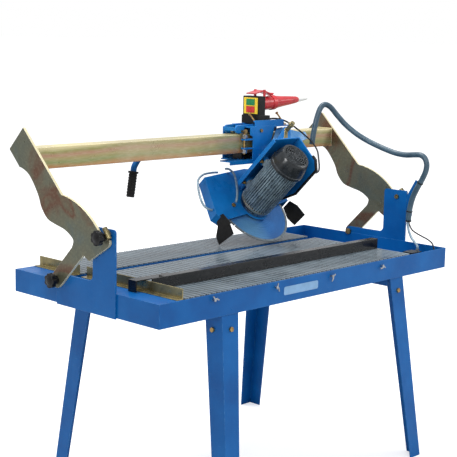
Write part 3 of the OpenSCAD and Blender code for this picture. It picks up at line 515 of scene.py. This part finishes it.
def conduit_skin(name, dark, light):
    """Flexible conduit: fine rings along its length and a dusty sheen."""
    m = Material(name, Metallic=0.0, Coat_Weight=0.2, Coat_Roughness=0.3)
    a = m.node("ShaderNodeAttribute", attribute_name="along")
    rings = m.math("SINE", m.math("MULTIPLY", a.outputs["Fac"], 2 * math.pi / CONDUIT_RING))
    c = m.ramp(m.noise(18, 4, 0.6), [(0.35, srgb(*dark)), (0.7, srgb(*light))])
    c = m.mix(m.grey(rings, [(0.0, 0.12), (0.6, 0.0)]), c, srgb(40, 58, 72))
    r = m.grey(m.noise(60, 4, 0.6), [(0.3, 0.34), (0.7, 0.52)])
    return m.set(Base_Color=c, Roughness=r, Normal=m.bump(rings, 0.16, 0.0004))


ARM_STOPS = [(0.26, (88, 104, 108)), (0.38, (98, 102, 88)), (0.48, (104, 102, 84)),
             (0.56, (100, 66, 48)), (0.63, (104, 102, 82)), (0.76, (82, 88, 72))]
GOLD_STOPS = [(0.3, (112, 104, 76)), (0.5, (158, 144, 100)), (0.7, (90, 84, 64))]

PAINT = blue_paint("powder_coat_blue")
PAINT_DARK = blue_paint("powder_coat_blue_machine", (12, 104, 174), (8, 86, 152), (30, 120, 192), 0.28)
# a lighter, lit copy of the blue powder coat for the wing; its pale patches are a painted reflection
PAINT_WING_LIT = blue_paint("powder_coat_blue_wing_lit", (84, 140, 192), (40, 104, 172), (170, 200, 224), 0.24)
ARM = zinc("arm_passivated_zinc", ARM_STOPS, 4.4, metallic=0.45, narrow_face_highlight=(226, 216, 178))
GOLD = zinc("small_parts_zinc", GOLD_STOPS, 12, metallic=0.75, rough=0.3, edge_highlight=(240, 220, 160))
BOLT = plain_metal("bolt_zinc", (206, 172, 112), (140, 108, 66), 0.3)
STEEL = plain_metal("bright_steel", (196, 198, 200), (130, 134, 138), 0.26)
RUBBER = moulded("black_rubber", (17, 16, 16), 0.66, 300, 0.0005, (52, 50, 50))
PLASTIC = moulded("black_moulded", (10, 10, 11), 0.3, 600, 0.0001, (30, 31, 34))
FENCE = plain_metal("fence_black_satin", (22, 22, 23), (14, 14, 15), 0.2, 0.0, 30, (0.3, 1, 1))
MOTOR = plain_metal("motor_enamel", (138, 158, 168), (84, 98, 108), 0.22, 0.35, 40, edge_highlight=(190, 204, 210))
COVER = plain_metal("cover_enamel", (38, 42, 45), (24, 27, 30), 0.26, 0.1, 50, edge_highlight=(120, 128, 134))
BELL = plain_metal("end_bell_alloy", (186, 178, 160), (128, 118, 100), 0.4, 0.85, 45, edge_highlight=(216, 208, 190))
RED = moulded("red_moulded", (198, 38, 46), 0.3, 500, 0.0002, (226, 90, 90), 0.3)
RED_BUTTON = moulded("red_button", (206, 44, 44), 0.28, 700, 0.0001, (230, 100, 96), 0.4)
GREEN_BUTTON = moulded("green_button", (24, 132, 76), 0.28, 700, 0.0001, (80, 170, 120), 0.4)
YELLOW = moulded("yellow_moulded", (244, 208, 54), 0.36, 500, 0.0002, (250, 230, 120), 0.2, 0.05)
BADGE = moulded("badge_pale_blue", (128, 168, 206), 0.4, 500, 0.0001, None, 0.1, 0.05)
WHITE = moulded("white_moulded", (232, 232, 228), 0.4, 500, 0.0002, None, 0.1, 0.05)
GREY = moulded("grey_moulded", (110, 114, 118), 0.44, 500, 0.0002, (150, 152, 156))

MATERIALS = {
    PAINT: ("tray", "deck", "bracket_left", "bracket_right", "legs_front", "legs_back", "leg_braces",
            "hose_mast", "handle_tube"),
    PAINT_DARK: ("carriage_front", "carriage_back", "cradle", "guard"),
    PAINT_WING_LIT: ("carriage_wing",),
    ARM: ("arm_left", "arm_right"),
    GOLD: ("end_rails", "tilt_stops", "plunge_pin"),
    beam_zinc(): ("beam",),
    BOLT: ("frame_bolts", "carriage_bolts", "head_bolts"),
    STEEL: ("front_hooks", "roller_front_left", "roller_front_right", "roller_top_left",
            "roller_top_right", "arbor"),
    wet_mat(): ("mats",),
    RUBBER: ("flaps", "cradle_trim", "grip"),
    PLASTIC: ("pump_body", "hose_ties", "pivot_knob_left", "pivot_knob_right", "clamp_knob_left",
              "clamp_knob_right", "slide_pads", "switch_box", "fan"),
    FENCE: ("fence_bar",),
    MOTOR: ("motor_body",),
    COVER: ("fan_cover",),
    BELL: ("end_bell",),
    blade_paint(): ("blade",),
    RED: ("coupler", "coupler_lid"),
    RED_BUTTON: ("stop_button",),
    GREEN_BUTTON: ("start_button",),
    YELLOW: ("switch_plate",),
    WHITE: ("gland_tips",),
    GREY: ("pump_outlet",),
}


def paint(obj, material):
    if not obj.material_slots:
        obj.data.materials.append(material)
    for s in obj.material_slots:
        s.material = material


# ---------- edge finish of the frame's own nodes ----------

SHARP = math.radians(32)
MERGE_DISTANCE = 2e-5


def clean_group():
    """Joins split vertices, drops stored normals, and marks edges sharper than SHARP."""
    g = bpy.data.node_groups.new("join_and_smooth", "GeometryNodeTree")
    g.interface.new_socket("Geometry", in_out="INPUT", socket_type="NodeSocketGeometry")
    g.interface.new_socket("Geometry", in_out="OUTPUT", socket_type="NodeSocketGeometry")
    n, link = g.nodes, g.links.new
    a, z = n.new("NodeGroupInput"), n.new("NodeGroupOutput")
    drop = n.new("GeometryNodeRemoveAttribute")
    drop.inputs["Name"].default_value = "custom_normal"
    join = n.new("GeometryNodeMergeByDistance")
    join.inputs["Distance"].default_value = MERGE_DISTANCE
    faces = n.new("GeometryNodeSetShadeSmooth")
    faces.domain = "FACE"
    edges = n.new("GeometryNodeSetShadeSmooth")
    edges.domain = "EDGE"
    angle = n.new("GeometryNodeInputMeshEdgeAngle")
    less = n.new("FunctionNodeCompare")
    less.operation = "LESS_THAN"
    less.inputs[1].default_value = SHARP
    link(a.outputs[0], drop.inputs[0])
    link(drop.outputs[0], join.inputs[0])
    link(join.outputs[0], faces.inputs[0])
    link(faces.outputs[0], edges.inputs[0])
    link(angle.outputs[0], less.inputs[0])
    link(less.outputs[0], edges.inputs["Shade Smooth"])
    link(edges.outputs[0], z.inputs[0])
    return g


JOIN = clean_group()
DEFAULT_BEVEL = 0.0008
BEVEL = {"mats": 0.0, "motor_body": 0.0004, "fan_cover": 0.0005, "blade": 0.0003, "fan": 0.0005,
         "switch_plate": 0.0007, "coupler_lid": 0.0007, "guard": 0.0006, "deck": 0.0005,
         "frame_bolts": 0.0005, "carriage_bolts": 0.0006, "head_bolts": 0.0006,
         "legs_front": 0.0009, "legs_back": 0.0009, "beam": 0.0022, "tray": 0.0009,
         "grip": 0.001, "front_hooks": 0.0005, "hose_ties": 0.0004}


def finish_edges(name, obj):
    mod = obj.modifiers.new("join", "NODES")
    mod.node_group = JOIN
    width = BEVEL.get(name, DEFAULT_BEVEL)
    if width:
        flat = obj.modifiers.new("flatten", "DECIMATE")
        flat.decimate_type = "DISSOLVE"
        flat.angle_limit = math.radians(0.4)
        b = obj.modifiers.new("rounded_edges", "BEVEL")
        b.width = width
        b.segments = 2
        b.limit_method = "ANGLE"
        b.angle_limit = SHARP
        b.harden_normals = True
        b.use_clamp_overlap = True


for material, names in MATERIALS.items():
    for name in names:
        paint(NODES[name], material)
        finish_edges(name, NODES[name])

CONDUIT_SKIN = conduit_skin("conduit_blue_grey", (46, 72, 88), (66, 94, 110))
CLEAR = clear_tube("clear_hose")
CABLE_SKIN = moulded("cable_black", (26, 27, 29), 0.42, 400, 0.0002)
for name in CORDS:
    skin = CONDUIT_SKIN if name.startswith("conduit") else CLEAR if "hose" in name else CABLE_SKIN
    paint(CORDS[name], skin)


# ---------- small visual pieces ----------

def new_piece(name, bm, material, body):
    mesh = bpy.data.meshes.new(name)
    bm.to_mesh(mesh)
    bm.free()
    obj = bpy.data.objects.new(name, mesh)
    bpy.context.scene.collection.objects.link(obj)
    obj.data.materials.append(material)
    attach(obj, body)
    return obj


def prism(bm, outline, place, a, b):
    """A closed plate: the outline at depth a and at depth b, put in place by a function."""
    low = [bm.verts.new(place(x, y, a)) for x, y in outline]
    high = [bm.verts.new(place(x, y, b)) for x, y in outline]
    bm.faces.new(low)
    bm.faces.new(list(reversed(high)))
    for i in range(len(outline)):
        k = (i + 1) % len(outline)
        bm.faces.new((low[i], high[i], high[k], low[k]))
    bmesh.ops.recalc_face_normals(bm, faces=bm.faces)


def round_edges(obj, width):
    b = obj.modifiers.new("rounded_edges", "BEVEL")
    b.width = width
    b.segments = 2
    b.limit_method = "ANGLE"
    b.harden_normals = True
    for p in obj.data.polygons:
        p.use_smooth = True


def make_badge():
    """A plain pale badge with round corners on the tray's front wall."""
    bm = bmesh.new()
    cx, cz, half_x, half_z, corner, n = 681, -40, 92, 15, 7, 6
    outline = []
    for sx, sz, start in ((1, 1, 0), (-1, 1, 90), (-1, -1, 180), (1, -1, 270)):
        for k in range(n + 1):
            a = math.radians(start + 90 * k / n)
            outline.append((cx + sx * (half_x - corner) + corner * math.cos(a),
                            cz + sz * (half_z - corner) + corner * math.sin(a)))
    prism(bm, outline, lambda x, z, y: table_point((x, y, z)), -0.15, -0.9)
    new_piece("plain_badge", bm, BADGE, "table")


def make_head_strap():
    """The bright passivated strap on the front of the head's link."""
    bm = bmesh.new()
    outline = [(1236, 376), (1221, 378), (1150, 296), (1158, 286), (1170, 288)]
    prism(bm, outline, lambda x, v, u: bridge_point((x, u, v)), -275.2, -272.1)
    obj = new_piece("head_link_strap", bm, GOLD, "head")
    round_edges(obj, 0.0006)


def make_flaps():
    """The two rubber flaps as pieces of their own.

    The CAD flap stays rigid and meets the mats and the deck at the plunge's upper limit. The visible
    left flap gets a mesh of its own.
    """
    cad = bpy.data.objects["flaps"]
    middle = (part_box("flaps")[0][0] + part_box("flaps")[1][0]) / 2
    for name, left in (("flap_left", True), ("flap_right", False)):
        bm = bmesh.new()
        bm.from_mesh(cad.data)
        bm.transform(cad.matrix_world)
        far = [v for v in bm.verts if (v.co.x < middle) != left]
        bmesh.ops.delete(bm, geom=far, context="VERTS")
        obj = new_piece(name, bm, RUBBER, "head")
        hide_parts("flaps")
        if left:
            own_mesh(obj)


make_badge()
make_head_strap()
make_flaps()


# ---------- light and floor ----------

def area(name, at, towards, size, power):
    data = bpy.data.lights.new(name, "AREA")
    data.shape = "RECTANGLE"
    data.size, data.size_y = size
    data.energy = power
    obj = bpy.data.objects.new(name, data)
    obj.location = at
    obj.rotation_euler = (Vector(towards) - Vector(at)).to_track_quat("-Z", "Y").to_euler()
    bpy.context.scene.collection.objects.link(obj)


def spot(name, place, aim, cone, power):
    data = bpy.data.lights.new(name, "SPOT")
    data.energy = power
    data.spot_size = math.radians(cone)
    data.spot_blend = 1.0
    data.shadow_soft_size = 0.35
    obj = bpy.data.objects.new(name, data)
    obj.location = place
    obj.rotation_euler = (Vector(aim) - Vector(place)).to_track_quat("-Z", "Y").to_euler()
    bpy.context.scene.collection.objects.link(obj)


def make_world():
    world = bpy.data.worlds.new("studio")
    bpy.context.scene.world = world
    world.use_nodes = True
    t = world.node_tree
    t.nodes.clear()
    out = t.nodes.new("ShaderNodeOutputWorld")
    seen, fill = t.nodes.new("ShaderNodeBackground"), t.nodes.new("ShaderNodeBackground")
    seen.inputs[0].default_value = (1, 1, 1, 1)
    seen.inputs[1].default_value = 1.0
    fill.inputs[0].default_value = (0.95, 0.97, 1.0, 1)
    fill.inputs[1].default_value = 0.74
    path, mix = t.nodes.new("ShaderNodeLightPath"), t.nodes.new("ShaderNodeMixShader")
    t.links.new(path.outputs["Is Camera Ray"], mix.inputs[0])
    t.links.new(fill.outputs[0], mix.inputs[1])
    t.links.new(seen.outputs[0], mix.inputs[2])
    t.links.new(mix.outputs[0], out.inputs[0])


FLOOR_SIZE, FLOOR_GLOW = 300, 0.62


def make_floor():
    """A pale floor that glows for camera rays only, so that it comes out white."""
    bm = bmesh.new()
    bmesh.ops.create_grid(bm, x_segments=2, y_segments=2, size=FLOOR_SIZE)
    mesh = bpy.data.meshes.new("floor")
    bm.to_mesh(mesh)
    bm.free()
    floor = bpy.data.objects.new("floor", mesh)
    bpy.context.scene.collection.objects.link(floor)
    m = Material("floor_white", Roughness=0.9, Specular_IOR_Level=0.1)
    m.bsdf.inputs["Emission Color"].default_value = (1, 1, 1, 1)
    seen = m.node("ShaderNodeLightPath").outputs["Is Camera Ray"]
    m.set(Base_Color=m.ramp(m.noise(2), [(0.3, (0.6, 0.6, 0.6, 1)), (0.7, (0.64, 0.64, 0.64, 1))]),
          Emission_Strength=m.math("MULTIPLY", seen, FLOOR_GLOW))
    floor.data.materials.append(m.mat)


make_world()
make_floor()
area("key", (-7.5, -8.5, 9.0), (0.1, 0, 1.0), (5.0, 4.0), 470)
area("fill", (8.0, -6.0, 5.0), (0.3, 0, 1.0), (4.0, 4.0), 240)
area("top", (0.4, 2.0, 9.0), (0.1, 0.1, 0.9), (5.0, 3.0), 620)
spot("right_end", (-1.7, -0.15, 1.75), (0.79, 0.05, 0.95), 26, 90)
bpy.context.scene.view_settings.view_transform = "Standard"
